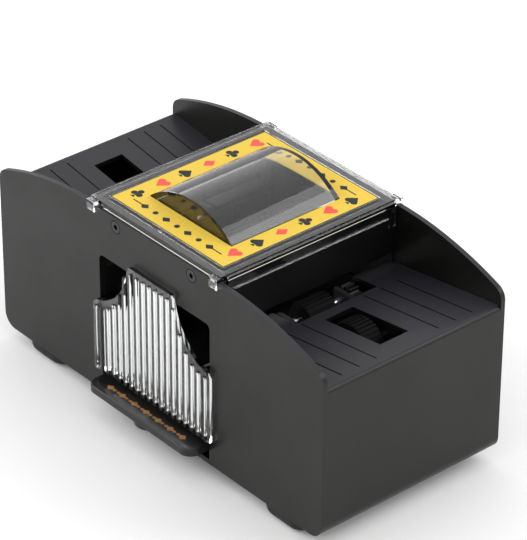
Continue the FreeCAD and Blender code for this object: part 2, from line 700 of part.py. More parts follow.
# ---------------------------------------------------------------- cover and label
def top_cover():
    body = new_body("top_cover")
    plate_top = "(%s + cover_thickness)" % COVER_Z
    plate = new_sketch(body, "XY_Plane", COVER_Z)
    rectangle(plate, "-cover_length / 2", "cover_length / 2", "-cover_width / 2", "cover_width / 2")
    pad(body, plate, "cover_thickness")
    # a shallow tray in the top takes the label, and its edge stands a little above it
    tray = new_sketch(body, "XY_Plane", plate_top)
    rectangle(tray, "-(label_length / 2 + label_gap)", "label_length / 2 + label_gap",
              "-(label_width / 2 + label_gap)", "label_width / 2 + label_gap")
    cut(body, tray, "label_thickness + label_depth")
    dome = new_sketch(body, "XZ_Plane")
    dome_foot = "(%s - cover_thickness / 2)" % plate_top
    outline(dome, [("-dome_length / 2", plate_top, ("0", "%s + dome_height" % plate_top)),
                   ("dome_length / 2", plate_top),
                   ("dome_length / 2", dome_foot),
                   ("-dome_length / 2", dome_foot)])
    pad(body, dome, "dome_width", symmetric=True)
    hollow = new_sketch(body, "XZ_Plane")
    low = "(%s - 0.2)" % COVER_Z
    reach = "(dome_length / 2 - dome_wall)"
    outline(hollow, [("-" + reach, low, ("0", "%s + dome_height - dome_wall" % plate_top)),
                     (reach, low)])
    cut(body, hollow, "dome_width - 2 * dome_wall", symmetric=True)
    # a skirt along each tray side, with a longer clip at each end
    ledges = new_sketch(body, "XY_Plane", COVER_Z)
    skirts = new_sketch(body, "XY_Plane", COVER_Z)
    clips = new_sketch(body, "XY_Plane", COVER_Z)
    end, clip_end = "(%s - 1.5)" % INNER_FRONT, "(%s - 5)" % INNER_FRONT
    for sx in ("", "-"):
        x0, x1 = "%s(cover_length / 2 + 0.3)" % sx, "%s(cover_length / 2 + skirt_reach)" % sx
        rectangle(ledges, "%s(cover_length / 2 - 1)" % sx, x1, "-" + end, end)
        rectangle(skirts, x0, x1, "-" + end, end)
        for sy in ("", "-"):
            rectangle(clips, x0, x1, sy + clip_end, sy + end)
    pad(body, ledges, "ledge_thickness")
    pad(body, skirts, "skirt_depth", reverse=True)
    pad(body, clips, "clip_depth", reverse=True)
    # a lug at each corner, hooked over the panel's top edge
    flanges = new_sketch(body, "XY_Plane", COVER_Z)
    hooks = new_sketch(body, "XY_Plane", COVER_Z)
    for sx in ("", "-"):
        for sy in ("", "-"):
            x0, x1 = "%s(cover_length / 2 - lug_length)" % sx, "%scover_length / 2" % sx
            y1 = "%s(%s + lug_reach)" % (sy, FRONT)
            rectangle(flanges, x0, x1, "%s(cover_width / 2 - 1)" % sy, y1)
            rectangle(hooks, x0, x1, "%s(%s + 0.3)" % (sy, FRONT), y1)
    pad(body, flanges, "ledge_thickness")
    pad(body, hooks, "hook_depth", reverse=True)
    finish(body)


def card_label():
    high = "(%s + cover_thickness - label_depth)" % COVER_Z
    low = "(%s - label_thickness)" % high
    card = block("label_card", "-label_length / 2", "label_length / 2", "-label_width / 2",
                 "label_width / 2", low, high)
    across, deep = "(dome_length / 2 + label_gap)", "(dome_width / 2 + label_gap)"
    window = block("label_hole", "-" + across, across, "-" + deep, deep, low + " - 1", high + " + 1")
    finish(subtract("card_label", card, [window]))


# ---------------------------------------------------------------- drawer
def drawer_front_top(x):
    """Height of the drawer front's top edge above its bottom edge, at a distance x from the middle."""
    half, top_half = size("front_width / 2"), size("front_top_width / 2")
    shoulder, height = size("front_shoulder"), size("front_height")
    x = abs(x)
    if x <= top_half - 1:
        return height
    if x >= half - 3.5:
        return shoulder - (x - (half - 3.5)) ** 2 / 3.5
    share = (x - top_half) / (half - 3.5 - top_half)
    return shoulder + (height - shoulder) * max(0.0, 1 - share) ** 2.6


def card_drawer():
    body = new_body("card_drawer")
    half, top = "(front_width / 2)", "(front_top_width / 2)"
    z_top, z_side = "(%s + front_height)" % DRAWER_Z, "(%s + front_shoulder)" % DRAWER_Z
    hollow_x = "(%s + 0.27 * (%s - %s))" % (top, half, top)
    hollow_z = "(%s + 0.34 * (front_height - front_shoulder))" % z_side
    front_y = "(%s + 0.5)" % FRONT
    plate = new_sketch(body, "XZ_Plane", front_y)
    outline(plate, [
        ("-" + half, DRAWER_Z), (half, DRAWER_Z),
        (half, "%s - 3.5" % z_side, ("%s - 1" % half, "%s - 1" % z_side)),
        ("%s - 3.5" % half, z_side, (hollow_x, hollow_z)),
        (top, "%s - 2.2" % z_top, ("%s - 0.6" % top, "%s - 0.7" % z_top)),
        ("%s - 2" % top, z_top), ("-(%s - 2)" % top, z_top, ("-(%s - 0.6)" % top, "%s - 0.7" % z_top)),
        ("-" + top, "%s - 2.2" % z_top, ("-" + hollow_x, hollow_z)),
        ("-(%s - 3.5)" % half, z_side, ("-(%s - 1)" % half, "%s - 1" % z_side)),
        ("-" + half, "%s - 3.5" % z_side)])
    pad(body, plate, "front_thickness")
    ribs = new_sketch(body, "XZ_Plane", "%s + front_thickness - 0.2" % front_y)
    low = "(%s + 1.4)" % DRAWER_Z
    for i in range(int(size("drawer_rib_count"))):
        x = "((%d - (drawer_rib_count - 1) / 2) * drawer_rib_pitch)" % i
        high = "(%s + %.3f)" % (DRAWER_Z, drawer_front_top(size(x)) - 3.4)
        left, right = "(%s - drawer_rib_width / 2)" % x, "(%s + drawer_rib_width / 2)" % x
        outline(ribs, [(left, low, (x, "%s - drawer_rib_width / 2" % low)), (right, low),
                       (right, high, (x, "%s + drawer_rib_width / 2" % high)), (left, high)])
    pad(body, ribs, "drawer_rib_depth + 0.2")
    rib_face = size("-(%s + front_thickness + drawer_rib_depth)" % front_y)
    fillet(body, lambda e, m: abs(m.y - rib_face) < 0.01, "drawer_rib_depth - 0.2")
    floor = new_sketch(body, "XY_Plane", DRAWER_Z)
    back = "(drawer_depth - %s)" % front_y
    rectangle(floor, "-drawer_width / 2", "drawer_width / 2", "-(%s + 0.5)" % front_y, back)
    pad(body, floor, "drawer_wall")
    side, inner = "(drawer_width / 2)", "(drawer_width / 2 - drawer_wall)"
    walls = new_sketch(body, "XY_Plane", DRAWER_Z)
    outline(walls, [("-" + side, "-(%s + 0.5)" % front_y), ("-" + side, back), (side, back),
                    (side, "-(%s + 0.5)" % front_y), (inner, "-(%s + 0.5)" % front_y),
                    (inner, "%s - drawer_wall" % back), ("-" + inner, "%s - drawer_wall" % back),
                    ("-" + inner, "-(%s + 0.5)" % front_y)])
    pad(body, walls, "drawer_height")
    finish(body)


# ---------------------------------------------------------------- press bar and switch
def press_bar():
    body = new_body("press_bar")
    half, tip = "(bar_length / 2)", "(%s + bar_reach)" % FRONT
    low = "(%s - bar_thickness / 2)" % PIVOT_Z
    arm = "(bar_arm_width / 2)"
    bend = "(bar_corner * 0.293)"
    plan = new_sketch(body, "XY_Plane", low)
    outline(plan, [
        ("-" + half, "-(%s - 0.8)" % FRONT),
        ("-" + half, "-(%s - bar_corner)" % tip, ("-(%s - %s)" % (half, bend), "-(%s - %s)" % (tip, bend))),
        ("-(%s - bar_corner)" % half, "-" + tip), ("%s - bar_corner" % half, "-" + tip,
                                                   ("%s - %s" % (half, bend), "-(%s - %s)" % (tip, bend))),
        (half, "-(%s - bar_corner)" % tip), (half, "-(%s - 0.8)" % FRONT),
        (arm, "-(%s - 0.8)" % FRONT), (arm, "-pivot_y"), ("-" + arm, "-pivot_y"),
        ("-" + arm, "-(%s - 0.8)" % FRONT)])
    pad(body, plan, "bar_thickness")
    fillet(body, lambda e, m: m.y < -size("%s + 2" % FRONT) and m.z > size(PIVOT_Z)
           and not along(e, AXIS_Z), "1")
    bump = new_sketch(body, "XY_Plane", low)
    outline(bump, [("-bump_width / 2", "-(%s - 5)" % tip, ("0", "-(%s - 0.6)" % tip)),
                   ("bump_width / 2", "-(%s - 5)" % tip)])
    pad(body, bump, "bump_depth", reverse=True)
    barrel = new_sketch(body, "YZ_Plane")
    circle(barrel, "-pivot_y", PIVOT_Z, "pin_radius + 0.9")
    pad(body, barrel, "bar_arm_width", symmetric=True)
    bore = new_sketch(body, "YZ_Plane")
    circle(bore, "-pivot_y", PIVOT_Z, "pin_radius + run_fit")
    cut(body, bore, "bar_arm_width + 2", symmetric=True)
    finish(body)
    pin_half = "(bar_arm_width / 2 + 4.6)"
    pin = rod("pin_rod", "pin_radius", "2 * " + pin_half, "-" + pin_half, "-pivot_y", PIVOT_Z, axis="x")
    finish(group("press_bar_pin", [pin]))


def coil(label, radius, wire, length, turns, x, y, z, turn):
    """A wire spring from a point along its own axis, wound in short straight runs."""
    bends = int(COIL_RUNS * size(turns)) + 1
    mean, rise = size(radius) - size(wire), (size(length) - 2 * size(wire)) / (bends - 1)
    angles = [2 * math.pi * i / COIL_RUNS for i in range(bends)]
    line = doc.addObject("Part::Polygon", label + "_line")
    line.Nodes = [Vector(mean * math.cos(a), mean * math.sin(a), size(wire) + rise * i)
                  for i, a in enumerate(angles)]
    section = doc.addObject("Part::RegularPolygon", label + "_section")
    section.Polygon = 8
    section.setExpression("Circumradius", bind(wire))
    section.Placement = FreeCAD.Placement(line.Nodes[0], Rotation(AXIS_Z, line.Nodes[1] - line.Nodes[0]))
    doc.recompute()
    sweep = doc.addObject("Part::Sweep", label + "_sweep")
    sweep.Sections = [section]
    sweep.Spine = (line, ["Edge%d" % (i + 1) for i in range(bends - 1)])
    sweep.Solid = True
    sweep.Transition = "Right corner"
    sweep.Placement = FreeCAD.Placement(Vector(), turn)
    for name, low in (("x", x), ("y", y), ("z", z)):
        sweep.setExpression("Placement.Base." + name, bind(low))
    return sweep


def press_bar_springs():
    low = "(%s + spring_gap)" % INSIDE
    length = "(%s - bar_thickness / 2 - %s - 2 * spring_gap)" % (PIVOT_Z, INSIDE)
    y = "-(pivot_y + 12)"
    coils = [coil("press_spring_" + tag, "spring_radius", "spring_wire / 2", length, "spring_turns",
                  s + "(bar_arm_width / 2 - 6)", y, low, Rotation())
             for s, tag in (("", "right"), ("-", "left"))]
    finish(group("press_bar_springs", coils))


def switch():
    y_in, y_out = "-(pivot_y + 6)", "-(pivot_y + 17)"
    for name, x0, x1, y0, y1, z0, z1 in (
            ("switch_block", "-6", "6", "-(pivot_y + 9)", y_in, INSIDE, "%s + 2.5" % INSIDE),
            ("switch_lower_leaf", "-3", "3", y_out, "-(pivot_y + 9)", "%s + 0.4" % INSIDE,
             "%s + 0.7" % INSIDE),
            ("switch_upper_leaf", "-3", "3", y_out, "-(pivot_y + 9)", "%s + 1.5" % INSIDE,
             "%s + 1.8" % INSIDE)):
        finish(group(name, [block(name + "_solid", x0, x1, y0, y1, z0, z1)]))


# ---------------------------------------------------------------- batteries
def battery_contacts():
    middle = "(%s + cell_radius + 0.4)" % INSIDE
    plates, coils = [], []
    for i in range(int(size("cell_count"))):
        y = "((%d - (cell_count - 1) / 2) * 2 * cell_radius)" % i
        for tag, x0, x1 in (("out", "-" + BAY_OUT, "-(%s - 0.4)" % BAY_OUT),
                            ("in", "-(%s + 0.4)" % BAY_IN, "-" + BAY_IN)):
            plates.append(block("contact_%s_%d" % (tag, i), x0, x1, y + " - 5", y + " + 5",
                                middle + " - 5", middle + " + 5"))
        coils.append(coil("battery_coil_%d" % i, "4", "0.3", "2.9", "3", "-(%s + 0.75)" % BAY_IN, y,
                          middle, Rotation(Vector(0, 1, 0), -90)))
    finish(group("battery_contact_plates", plates))
    finish(group("battery_springs", coils))


# ---------------------------------------------------------------- drive
def gear(label, module, teeth, width, bore):
    """A spur gear about its own Y axis, from y 0 to its width, with a tooth on the +X side."""
    modulus, count = size(module), size(teeth)
    pitch_radius = modulus * count / 2
    base_radius = pitch_radius * math.cos(math.radians(20))
    outer, root = pitch_radius + 0.8 * modulus, pitch_radius - 1.05 * modulus
    backlash = 0.09 * modulus
    involute = math.tan(math.radians(20)) - math.radians(20)
    half_angle = math.pi / (2 * count) - backlash / pitch_radius + involute

    def flank(radius):
        """Angle from the tooth's middle to its flank at a radius."""
        if radius <= base_radius:
            return half_angle
        pressure = math.acos(base_radius / radius)
        return half_angle - (math.tan(pressure) - pressure)

    body = new_body(label)
    disc = new_sketch(body, "XZ_Plane")
    circle(disc, "0", "0", "%s * (%s / 2 - 1.05)" % (module, teeth))
    pad(body, disc, width, reverse=True)
    tooth = new_sketch(body, "XZ_Plane")
    foot = root - 0.3 * modulus
    radii = [foot] + [root + (outer - root) * i / 5 for i in range(6)]
    right = [Vector(r * math.cos(flank(r)), -r * math.sin(flank(r)), 0) for r in radii]
    left = [Vector(p.x, -p.y, 0) for p in reversed(right)]
    corners = right + left
    for i, corner in enumerate(corners):
        tooth.addGeometry(Part.LineSegment(corner, corners[(i + 1) % len(corners)]), False)
    feature = pad(body, tooth, width, reverse=True)
    pattern(body, "PolarPattern", [feature], teeth, "Y_Axis")
    hole = new_sketch(body, "XZ_Plane", "1")
    circle(hole, "0", "0", bore)
    cut(body, hole, "%s + 2" % width)
    return body


def meshed(phase, teeth, direction, following):
    """Phase of a gear that meshes with another along a direction. Angles are anticlockwise from +X."""
    offset = (phase - direction) * size(teeth) / size(following)
    return direction + 180 - offset + 180 / size(following)


def bracket(side, turned):
    body = new_body(side + "_drive_bracket")
    deck = new_sketch(body, "XY_Plane", DECK_Z)
    edge_in, edge_out = "(%s - 4)" % BRACKET_SCREW_X[0], "(%s + 4)" % BRACKET_SCREW_X[1]
    rectangle(deck, edge_in, edge_out, "-deck_width / 2", "deck_width / 2")
    pad(body, deck, "bracket_plate")
    cheeks = new_sketch(body, "XZ_Plane")
    outline(cheeks, [
        ("%s - 3.9" % EXIT_X, "%s - 6" % EXIT_Z), ("%s + 6" % EXIT_X, DECK_Z), (edge_out, DECK_Z),
        (edge_out, "%s - 10" % FEED_Z), ("feed_x + 17", "%s - 1" % FEED_Z),
        ("feed_x + 6", "%s + 7" % FEED_Z), ("%s + 10" % EXIT_X, "%s + 2.4" % EXIT_Z),
        ("%s + 7.4" % EXIT_X, "%s + 4.4" % EXIT_Z), ("%s - 3.9" % EXIT_X, "%s + 4.4" % EXIT_Z)])
    pad(body, cheeks, "2 * " + PLATE_OUT, symmetric=True)
    gap = new_sketch(body, "XZ_Plane")
    rectangle(gap, "%s - 10" % EXIT_X, "%s + 10" % edge_out, "%s + bracket_plate" % DECK_Z,
              "%s + 20" % FEED_Z)
    cut(body, gap, "2 * bracket_half", symmetric=True)
    holes = new_sketch(body, "XZ_Plane")
    circle(holes, EXIT_X, EXIT_Z, "shaft_radius + run_fit")
    circle(holes, "feed_x", FEED_Z, "shaft_radius + run_fit")
    cut(body, holes, "4 * " + PLATE_OUT, symmetric=True)
    rear = new_sketch(body, "XZ_Plane")
    circle(rear, IDLER_X, IDLER_Z, "stud_radius")
    circle(rear, STEP_X, STEP_Z, "stud_radius")
    circle(rear, MOTOR_X, MOTOR_Z, "motor_boss + run_fit")
    cut(body, rear, "2 * " + PLATE_OUT)
    fixings = new_sketch(body, "XY_Plane", DECK_Z)
    for x in BRACKET_SCREW_X:
        for s in ("", "-"):
            circle(fixings, x, s + BRACKET_SCREW_Y, "screw_radius + 0.2")
    cut(body, fixings, "bracket_plate", reverse=True)
    finish(body, turned=turned)


def motor(side, turned):
    front = "(bracket_half - motor_length)"
    can_low = "(%s + 4)" % front
    round_can = rod(side + "_can_round", "motor_radius", "bracket_half - " + can_low, "0", can_low, "0")
    flats = block(side + "_can_flats", "-motor_radius", "motor_radius", can_low, "bracket_half",
                  "-motor_flat", "motor_flat")
    can = doc.addObject("Part::Common", side + "_can")
    can.Base, can.Tool = round_can, flats
    boss = rod(side + "_can_boss", "motor_boss", "bracket_plate", "0", "bracket_half", "0")
    whole = fuse(side + "_can_whole", [can, boss])
    bore = rod(side + "_can_bore", "motor_shaft + run_fit", "10", "0", "bracket_half - 4", "0")
    finish(subtract(side + "_motor_can", whole, [bore]), x=MOTOR_X, z=MOTOR_Z, turned=turned)
    cap_round = rod(side + "_cap_round", "motor_radius - 0.4", "4", "0", front, "0")
    cap_flats = block(side + "_cap_flats", "-motor_radius", "motor_radius", front, can_low,
                      "-(motor_flat - 0.4)", "motor_flat - 0.4")
    cap = doc.addObject("Part::Common", side + "_motor_cap")
    cap.Label = side + "_motor_cap"
    cap.Base, cap.Tool = cap_round, cap_flats
    finish(cap, x=MOTOR_X, z=MOTOR_Z, turned=turned)
    shaft = rod(side + "_motor_rod", "motor_shaft", "%s + wheel_width + 1.5 - bracket_half + 3" % WHEEL_Y,
                "0", "bracket_half - 3", "0")
    finish(group(side + "_motor_shaft", [shaft]), x=MOTOR_X, z=MOTOR_Z, turned=turned)


def tube(label, outer, inner, y0, y1):
    """A sleeve about its own Y axis."""
    solid = rod(label + "_out", outer, "(%s) - (%s)" % (y1, y0), "0", y0, "0")
    hole = rod(label + "_in", inner, "(%s) - (%s) + 2" % (y1, y0), "0", "%s - 1" % y0, "0")
    return subtract(label, solid, [hole])


def ribbed_roller(label, radius, width, bore, ribs):
    """A rubber roller about its own Y axis, ribbed along its length."""
    body = new_body(label)
    core = new_sketch(body, "XZ_Plane")
    circle(core, "0", "0", radius + " - tread_depth")
    pad(body, core, width, symmetric=True)
    rib = new_sketch(body, "XZ_Plane")
    rectangle(rib, radius + " - 2 * tread_depth", radius, "-tread_width / 2", "tread_width / 2")
    feature = pad(body, rib, width, symmetric=True)
    pattern(body, "PolarPattern", [feature], ribs, "Y_Axis")
    hole = new_sketch(body, "XZ_Plane")
    circle(hole, "0", "0", bore)
    cut(body, hole, width + " + 2", symmetric=True)
    return body


def rollers(side, turned):
    half = "feed_roller_width / 2"
    finish(tube(side + "_feed_hub", "feed_hub", "shaft_radius", "-" + half, half),
           x="feed_x", z=FEED_Z, turned=turned)
    tyre = ribbed_roller(side + "_feed_tyre", "feed_radius", "feed_roller_width", "feed_hub", 38)
    finish(tyre, x="feed_x", z=FEED_Z, turned=turned)
    roller = ribbed_roller(side + "_exit_roller", "exit_radius", "exit_roller_width", "shaft_radius", 22)
    finish(roller, x=EXIT_X, z=EXIT_Z, turned=turned)
    length = "(%s + gear_width + %s)" % (GEAR_Y, PLATE_OUT)
    for name, x, z in (("feed", "feed_x", FEED_Z), ("exit", EXIT_X, EXIT_Z)):
        shaft = rod("%s_%s_rod" % (side, name), "shaft_radius", length, "0", "-" + PLATE_OUT, "0")
        finish(group("%s_%s_shaft" % (side, name), [shaft]), x=x, z=z, turned=turned)


def gear_train(side, turned):
    feed_phase = 0.0
    idler_phase = meshed(feed_phase, "feed_teeth", size("idler_angle"), "idler_teeth")
    exit_phase = meshed(idler_phase, "idler_teeth", size("exit_angle"), "exit_teeth")
    step_phase = meshed(feed_phase, "feed_teeth", size("step_angle"), "step_teeth")
    pinion_phase = meshed(step_phase, "wheel_teeth", size("motor_angle"), "pinion_teeth")
    # an angle about +Y turns the other way when seen from the front, hence the minus signs
    plain = (("feed_gear", "feed_teeth", "feed_x", FEED_Z, "shaft_radius", feed_phase),
             ("exit_gear", "exit_teeth", EXIT_X, EXIT_Z, "shaft_radius", exit_phase),
             ("idler_gear", "idler_teeth", IDLER_X, IDLER_Z, "stud_radius + run_fit", idler_phase),
             ("step_gear", "step_teeth", STEP_X, STEP_Z, "stud_radius + run_fit", step_phase))
    for name, teeth, x, z, bore, phase in plain:
        body = gear("%s_%s" % (side, name), "gear_module", teeth, "gear_width", bore)
        finish(body, x=x, y=GEAR_Y, z=z, turned=turned, spin=-phase)
    wheel = gear(side + "_wheel_gear", "fine_module", "wheel_teeth", "wheel_width + 0.5",
                 "stud_radius + run_fit")
    finish(wheel, x=STEP_X, y="%s - 0.5" % WHEEL_Y, z=STEP_Z, turned=turned, spin=-step_phase)
    pinion = gear(side + "_motor_pinion", "fine_module", "pinion_teeth", "wheel_width", "motor_shaft")
    finish(pinion, x=MOTOR_X, y=WHEEL_Y, z=MOTOR_Z, turned=turned, spin=-pinion_phase)
    for name, x, z, end in (("idler_stud", IDLER_X, IDLER_Z, "%s + gear_width + 0.6" % GEAR_Y),
                            ("step_stud", STEP_X, STEP_Z, "%s + wheel_width + 0.6" % WHEEL_Y)):
        stud = rod("%s_%s_rod" % (side, name), "stud_radius", "%s - bracket_half" % end,
                   "0", "bracket_half", "0")
        finish(group("%s_%s" % (side, name), [stud]), x=x, z=z, turned=turned)


upper_housing()
lower_housing()
battery_door()
center_frame()
feet()
screws()
top_cover()
card_label()
card_drawer()
press_bar()
press_bar_springs()
switch()
battery_contacts()
for name, is_left in (("right", False), ("left", True)):
    bracket(name, is_left)
    motor(name, is_left)
    rollers(name, is_left)
    gear_train(name, is_left)
doc.recompute()

faults = [o.Name for o in doc.Objects if "Invalid" in o.State or "Error" in o.State]
faults += [o.Label for o in subparts if o.Shape.isNull() or not o.Shape.isValid()]
if faults:
    raise RuntimeError("failed: " + ", ".join(faults))
for part in subparts:
    part.Shape.exportStep("parts/%s.step" % part.Label)
print(len(subparts), "sub-parts")
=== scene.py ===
"""An automatic card shuffler: materials, printed details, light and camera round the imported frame.

Every length is in metres, in the frame's own axes: +X along the length, -Y to the front, +Z up.
"""
import math

import bpy
from mathutils import Matrix, Vector

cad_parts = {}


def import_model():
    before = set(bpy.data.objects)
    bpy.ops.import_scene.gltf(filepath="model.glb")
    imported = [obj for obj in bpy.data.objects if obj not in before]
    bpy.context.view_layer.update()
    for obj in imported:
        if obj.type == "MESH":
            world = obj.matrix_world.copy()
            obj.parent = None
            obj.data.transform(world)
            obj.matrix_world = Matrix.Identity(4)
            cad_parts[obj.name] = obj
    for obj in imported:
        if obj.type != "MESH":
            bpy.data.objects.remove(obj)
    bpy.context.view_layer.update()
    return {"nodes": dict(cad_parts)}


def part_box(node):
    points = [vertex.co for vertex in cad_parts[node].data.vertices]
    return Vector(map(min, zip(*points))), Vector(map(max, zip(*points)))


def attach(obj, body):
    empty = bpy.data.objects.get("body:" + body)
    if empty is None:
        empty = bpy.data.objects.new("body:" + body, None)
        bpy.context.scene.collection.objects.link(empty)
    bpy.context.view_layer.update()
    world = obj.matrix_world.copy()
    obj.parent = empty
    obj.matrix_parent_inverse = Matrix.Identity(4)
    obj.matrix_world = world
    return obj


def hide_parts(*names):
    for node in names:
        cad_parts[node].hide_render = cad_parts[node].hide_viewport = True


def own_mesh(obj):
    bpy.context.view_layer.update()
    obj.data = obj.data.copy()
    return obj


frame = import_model()
nodes = frame["nodes"]
MM = 0.001
SIDES = ("right", "left")


# ---------------------------------------------------------------- materials
def set_inputs(node, values):
    """Sets a node's inputs by name."""
    for name, value in values.items():
        node.inputs[name].default_value = value


def shader(name, **values):
    """A material with one Principled shader, and the shader, ready for more nodes."""
    material = bpy.data.materials.new(name)
    material.use_nodes = True
    tree = material.node_tree
    principled = tree.nodes["Principled BSDF"]
    set_inputs(principled, values)
    return material, tree, principled


def noise(tree, scale, detail, roughness=0.5, stretch=(1, 1, 1)):
    """The factor of a noise in object space, with a scale in cycles a metre."""
    place = tree.nodes.new("ShaderNodeTexCoord")
    mapping = tree.nodes.new("ShaderNodeMapping")
    mapping.inputs["Scale"].default_value = stretch
    texture = tree.nodes.new("ShaderNodeTexNoise")
    set_inputs(texture, {"Scale": scale, "Detail": detail, "Roughness": roughness})
    tree.links.new(place.outputs["Object"], mapping.inputs["Vector"])
    tree.links.new(mapping.outputs["Vector"], texture.inputs["Vector"])
    return texture.outputs["Fac"]


def spread(tree, factor, low, high):
    """A factor mapped onto a range of values."""
    scale = tree.nodes.new("ShaderNodeMapRange")
    set_inputs(scale, {"From Min": 0.3, "From Max": 0.7, "To Min": low, "To Max": high})
    tree.links.new(factor, scale.inputs["Value"])
    return scale.outputs["Result"]


def tint(tree, principled, factor, dark, light):
    """Base colour that wanders between two colours."""
    mix = tree.nodes.new("ShaderNodeMix")
    mix.data_type = "RGBA"
    mix.inputs["A"].default_value = (*dark, 1)
    mix.inputs["B"].default_value = (*light, 1)
    tree.links.new(factor, mix.inputs["Factor"])
    tree.links.new(mix.outputs["Result"], principled.inputs["Base Color"])


def bump(tree, principled, factor, depth, strength):
    """Relief of a depth in metres from a factor."""
    node = tree.nodes.new("ShaderNodeBump")
    set_inputs(node, {"Strength": strength, "Distance": depth})
    tree.links.new(factor, node.inputs["Height"])
    tree.links.new(node.outputs["Normal"], principled.inputs["Normal"])


def moulded(name, dark, light, rough, grain=1400, depth=0.00004, **values):
    """Moulded plastic with a fine even texture, slight colour drift and uneven gloss."""
    material, tree, principled = shader(name, **values)
    tint(tree, principled, noise(tree, 18, 2), dark, light)
    tree.links.new(spread(tree, noise(tree, 55, 4), rough - 0.05, rough + 0.06),
                   principled.inputs["Roughness"])
    bump(tree, principled, noise(tree, grain, 2), depth, 0.35)
    return material


def metal(name, dark, light, rough, stretch=(1, 1, 1)):
    """Drawn or turned metal with a fine directional grain."""
    material, tree, principled = shader(name, Metallic=1.0)
    grain = noise(tree, 900, 3, 0.6, stretch)
    tint(tree, principled, grain, dark, light)
    tree.links.new(spread(tree, grain, rough - 0.06, rough + 0.08), principled.inputs["Roughness"])
    bump(tree, principled, grain, 0.00001, 0.4)
    return material


def clear(name, colour, through, index, gloss, rough=0.03, wave=0.00002):
    """Clear moulded acrylic, with the faint waviness of a moulding."""
    material, tree, principled = shader(name, **{
        "Transmission Weight": through, "IOR": index, "Specular IOR Level": gloss})
    tint(tree, principled, noise(tree, 30, 2), colour, (0.99, 1.0, 1.0))
    tree.links.new(spread(tree, noise(tree, 90, 3), rough * 0.6, rough * 1.4),
                   principled.inputs["Roughness"])
    bump(tree, principled, noise(tree, 60, 2), wave, 0.5)
    return material


def printed(name, dark, light, rough=0.45):
    """Printing ink on film, with the faint mottle of the paper below."""
    material, tree, principled = shader(name, **{"Specular IOR Level": 0.25})
    tint(tree, principled, noise(tree, 420, 4, 0.65), dark, light)
    tree.links.new(spread(tree, noise(tree, 120, 2), rough - 0.05, rough + 0.08),
                   principled.inputs["Roughness"])
    bump(tree, principled, noise(tree, 1500, 2), 0.00001, 0.3)
    return material


def painted_tray_sheen(material, sheen_colour, inner_end, low):
    """Paints a lighter, bluish sheen onto upward faces beyond inner_end and above low, tray floors and wall
    tops, in place of the light they would reflect.
    """
    tree = material.node_tree
    principled = tree.nodes["Principled BSDF"]
    place = tree.nodes.new("ShaderNodeTexCoord")
    spot = tree.nodes.new("ShaderNodeSeparateXYZ")
    facing = tree.nodes.new("ShaderNodeSeparateXYZ")
    tree.links.new(place.outputs["Object"], spot.inputs["Vector"])
    tree.links.new(place.outputs["Normal"], facing.inputs["Vector"])

    def ramp(value, start, end):
        scale = tree.nodes.new("ShaderNodeMapRange")
        set_inputs(scale, {"From Min": start, "From Max": end})
        tree.links.new(value, scale.inputs["Value"])
        return scale.outputs["Result"]

    def maths(operation, a, b=None):
        node = tree.nodes.new("ShaderNodeMath")
        node.operation = operation
        tree.links.new(a, node.inputs[0])
        if b is not None:
            tree.links.new(b, node.inputs[1])
        return node.outputs["Value"]

    outward = ramp(maths("ABSOLUTE", spot.outputs["X"]), inner_end, inner_end + 2 * MM)
    upward = maths("MULTIPLY", ramp(facing.outputs["Z"], 0.85, 0.95), ramp(spot.outputs["Z"], low, low + MM))
    # painted sheen: a lighter colour mixed over the plastic's own colour where faces point up, beyond
    # inner_end and above low
    mix = tree.nodes.new("ShaderNodeMix")
    mix.data_type = "RGBA"
    mix.inputs["B"].default_value = (*sheen_colour, 1)
    tree.links.new(maths("MULTIPLY", outward, upward), mix.inputs["Factor"])
    tree.links.new(principled.inputs["Base Color"].links[0].from_socket, mix.inputs["A"])
    tree.links.new(mix.outputs["Result"], principled.inputs["Base Color"])


SHELL_COLOURS = ((0.0040, 0.0039, 0.0032), (0.0058, 0.0057, 0.0047))
casing = moulded("casing_abs", *SHELL_COLOURS, 0.36, IOR=1.39)
# the upper housing's plastic, with a painted sheen on its upward tray faces
housing = moulded("housing_abs_painted_sheen", *SHELL_COLOURS, 0.36, IOR=1.39)
painted_tray_sheen(housing, sheen_colour=(0.022, 0.0215, 0.027), inner_end=38 * MM, low=60 * MM)
inner = moulded("inner_abs", (0.0022, 0.0022, 0.0024), (0.0036, 0.0036, 0.0039), 0.42, IOR=1.36)
bar_black = moulded("bar_abs", (0.004, 0.004, 0.0042), (0.0065, 0.0065, 0.0068), 0.36, grain=1800, IOR=1.46)
bracket = moulded("bracket_abs", (0.010, 0.010, 0.011), (0.016, 0.016, 0.017), 0.5, IOR=1.4)
white_nylon = moulded("white_nylon", (0.70, 0.69, 0.64), (0.80, 0.79, 0.74), 0.42)
gear_acetal = moulded("gear_acetal", (0.004, 0.004, 0.004), (0.007, 0.007, 0.007), 0.36, grain=2200, IOR=1.3)
foot_rubber = moulded("foot_rubber", (0.006, 0.006, 0.006), (0.010, 0.010, 0.010), 0.72, grain=700,
                      depth=0.00008)
tyre_rubber = moulded("tyre_rubber", (0.003, 0.003, 0.003), (0.006, 0.006, 0.006), 0.62, grain=900,
                      depth=0.00008, IOR=1.17)
screw_black = metal("screw_black", (0.035, 0.035, 0.037), (0.075, 0.075, 0.08), 0.26)
steel = metal("steel", (0.50, 0.50, 0.52), (0.66, 0.66, 0.68), 0.24, (1, 0.06, 1))
can_steel = metal("can_steel", (0.46, 0.46, 0.47), (0.60, 0.60, 0.61), 0.32, (1, 0.05, 1))
brass = metal("plated_brass", (0.62, 0.53, 0.30), (0.78, 0.69, 0.44), 0.28)
cover_acrylic = clear("cover_acrylic", (0.97, 0.98, 0.985), 1.0, 1.46, 0.5)
drawer_acrylic = clear("drawer_acrylic", (0.97, 0.98, 0.985), 1.0, 1.47, 0.6)
label_gold = printed("label_gold", (0.70, 0.475, 0.046), (0.76, 0.535, 0.070))
ink_black = printed("ink_black", (0.012, 0.013, 0.012), (0.022, 0.023, 0.021))
ink_coral = printed("ink_coral", (0.84, 0.075, 0.055), (0.92, 0.11, 0.085))
